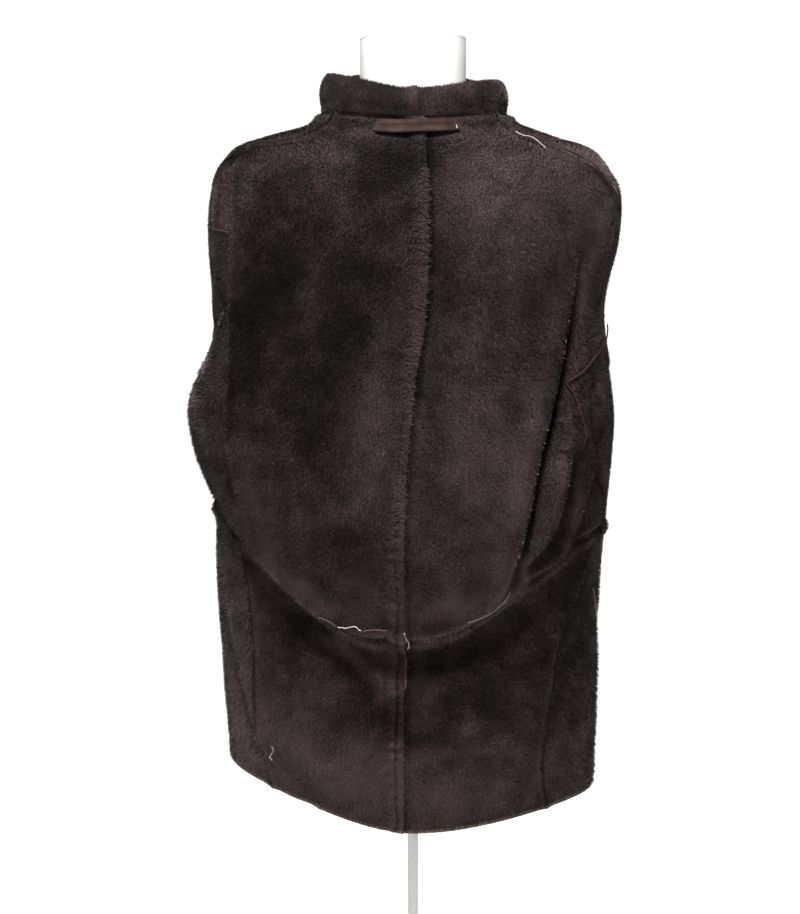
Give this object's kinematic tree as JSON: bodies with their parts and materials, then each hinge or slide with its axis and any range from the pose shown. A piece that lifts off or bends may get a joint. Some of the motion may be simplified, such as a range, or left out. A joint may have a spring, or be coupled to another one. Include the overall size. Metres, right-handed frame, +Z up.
{
  "type": "shearling coat on a dress form",
  "caption": "Shearling coat turned fur side out, with its sleeves left inside, hanging on a limbless dress form with a thin pole and a round base.",
  "frame": {"origin": "middle of the underside of the stand's round base, on the pole's axis", "axes": "+Z up along the pole, +Y towards the coat's back, +X towards the wearer's left"},
  "size_m": [0.4906, 0.377, 1.505],
  "materials": {
    "fur": "clipped dense fur, matt with a soft nap",
    "leather": "satin",
    "form": "matt white",
    "pole": "satin",
    "base": "satin white"
  },
  "bodies": {
    "root": {"back_bodice_left": "fur", "back_bodice_right": "fur", "front_bodice_left": "fur", "front_bodice_right": "fur", "back_skirt_left": "fur", "back_skirt_right": "fur", "front_skirt_left": "fur", "front_skirt_right": "fur", "sleeve_left": "fur", "sleeve_right": "fur", "collar_left": "fur", "collar_right": "fur", "locker_loop": "leather", "form_torso": "form", "form_neck": "form", "form_cap": "form", "stand_pole": "pole", "stand_base": "base"}
  },
  "joints": []
}
